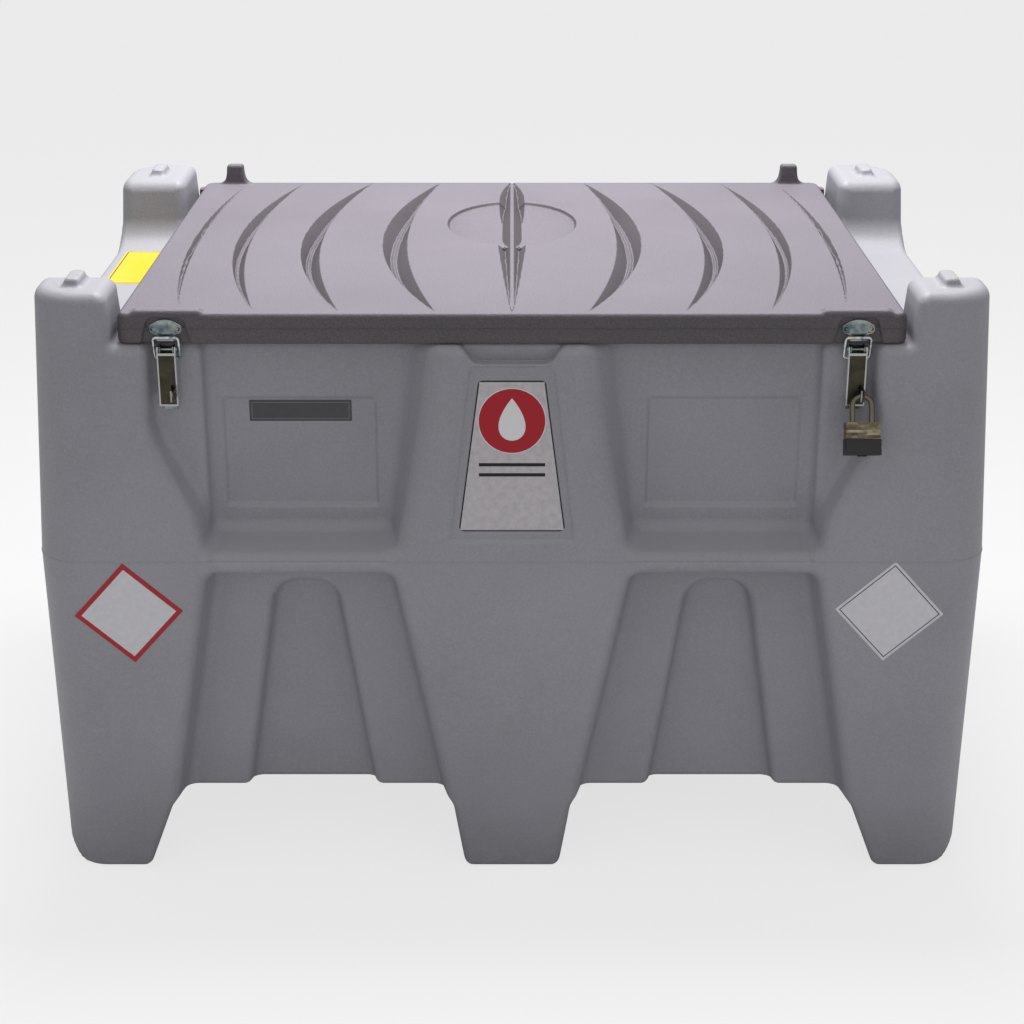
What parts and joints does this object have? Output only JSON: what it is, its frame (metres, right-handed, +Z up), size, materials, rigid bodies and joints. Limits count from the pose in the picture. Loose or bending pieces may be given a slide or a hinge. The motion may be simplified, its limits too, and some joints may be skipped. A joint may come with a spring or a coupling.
{
  "type": "diesel transfer tank",
  "caption": "Hollow moulded transfer tank with a hinged, latched and padlocked lid over a pump bay with filler, pump and nozzle.",
  "frame": {"origin": "on the ground, at the middle of the fork channels, which is the middle of the tank's own 1200 x 800 mm footprint; the padlock hangs in front of it", "axes": "+X to the right along the long side as seen from the front, +Y from the latched front to the hinged rear, +Z up"},
  "size_m": [1.2, 0.8243, 0.795],
  "materials": {
    "tank_body": "charcoal grey moulded polyethylene with a fine orange peel",
    "lid_plastic": "dark grey moulded polyethylene, fine grain",
    "zinc_sheet": "bright zinc plated pressed steel",
    "lever_steel": "polished stainless sheet",
    "spring_wire": "plated round wire",
    "shackle_steel": "hardened and chromed bar",
    "lock_plates": "laminated steel plates",
    "black_plastic": "black moulded plastic",
    "pump_cast": "painted cast iron",
    "motor_paint": "painted motor case",
    "pipe_zinc": "zinc plated pipe",
    "nozzle_alloy": "die cast aluminium",
    "strainer_brass": "plain brass"
  },
  "bodies": {
    "tank_side": {"tank": "tank_body", "left_latch_base": "zinc_sheet", "left_latch_pin": "zinc_sheet", "left_hinge_lower_leaf": "zinc_sheet", "left_hinge_pin": "zinc_sheet", "right_latch_base": "zinc_sheet", "right_latch_pin": "zinc_sheet", "right_hinge_lower_leaf": "zinc_sheet", "right_hinge_pin": "zinc_sheet", "filler_neck": "black_plastic", "vent_valve": "black_plastic", "pump_foot": "zinc_sheet", "pump_housing": "pump_cast", "pump_cover": "pump_cast", "pump_bolts": "zinc_sheet", "motor_case": "motor_paint", "motor_cap": "black_plastic", "switch_box": "black_plastic", "suction_flange": "black_plastic", "suction_tube": "black_plastic", "foot_strainer": "strainer_brass", "suction_pipe": "pipe_zinc", "outlet_elbow": "pipe_zinc", "hose_tail": "pipe_zinc", "nozzle_body": "nozzle_alloy", "nozzle_spout": "nozzle_alloy", "nozzle_guard": "black_plastic", "nozzle_holster": "black_plastic"},
    "lid_side": {"lid": "lid_plastic", "left_hinge_upper_leaf": "zinc_sheet", "left_keeper": "zinc_sheet", "left_keeper_rivets": "zinc_sheet", "right_hinge_upper_leaf": "zinc_sheet", "right_keeper": "zinc_sheet", "right_keeper_rivets": "zinc_sheet"},
    "left_lever": {"left_latch_lever": "lever_steel"},
    "left_bail": {"left_latch_bail": "spring_wire"},
    "right_lever": {"right_latch_lever": "lever_steel"},
    "right_bail": {"right_latch_bail": "spring_wire"},
    "shackle": {"padlock_shackle": "shackle_steel"},
    "lock_case": {"padlock_case": "lock_plates", "padlock_bumper": "black_plastic"},
    "cap": {"filler_cap": "black_plastic"},
    "trigger": {"nozzle_trigger": "black_plastic"},
    "rocker": {"pump_switch": "black_plastic"}
  },
  "joints": [
    {"name": "lid_hinge", "type": "hinge", "parent": "tank_side", "child": "lid_side", "pos_m": [0, 0.379, 0.715], "axis": [-1, 0, 0], "range_deg": [0, 95]},
    {"name": "left_lever_hinge", "type": "hinge", "parent": "tank_side", "child": "left_lever", "pos_m": [-0.42, -0.373, 0.712], "axis": [-1, 0, 0], "range_deg": [0, 105]},
    {"name": "left_bail_hinge", "type": "hinge", "parent": "left_lever", "child": "left_bail", "pos_m": [-0.42, -0.369, 0.7], "axis": [-1, 0, 0], "range_deg": [-83, 0]},
    {"name": "right_lever_hinge", "type": "hinge", "parent": "tank_side", "child": "right_lever", "pos_m": [0.42, -0.373, 0.712], "axis": [-1, 0, 0], "range_deg": [0, 105]},
    {"name": "right_bail_hinge", "type": "hinge", "parent": "right_lever", "child": "right_bail", "pos_m": [0.42, -0.369, 0.7], "axis": [-1, 0, 0], "range_deg": [-83, 0]},
    {"name": "padlock_swing", "type": "hinge", "parent": "right_lever", "child": "shackle", "pos_m": [0.4268, -0.388, 0.6571], "axis": [-1, 0, 0], "range_deg": [0, 60]},
    {"name": "padlock_slide", "type": "slide", "parent": "shackle", "child": "lock_case", "axis": [0, -0.3746, -0.9272], "range_m": [0, 0.009]},
    {"name": "cap_turn", "type": "hinge", "parent": "tank_side", "child": "cap", "pos_m": [-0.29, 0.09, 0.56], "axis": [0, 0, 1], "continuous": true},
    {"name": "trigger_squeeze", "type": "hinge", "parent": "tank_side", "child": "trigger", "pos_m": [-0.02, -0.19, 0.588], "axis": [0, -1, 0], "range_deg": [0, 8], "stiffness_Nm_per_rad": 0.3, "springref_deg": -5.73},
    {"name": "switch_rock", "type": "hinge", "parent": "tank_side", "child": "rocker", "pos_m": [0.307, 0.04, 0.665], "axis": [0, 1, 0], "range_deg": [0, 16]}
  ],
  "couplings": [
    {"joint": "left_bail_hinge", "follows": "left_lever_hinge", "ratio": -0.75},
    {"joint": "right_bail_hinge", "follows": "right_lever_hinge", "ratio": -0.75}
  ]
}
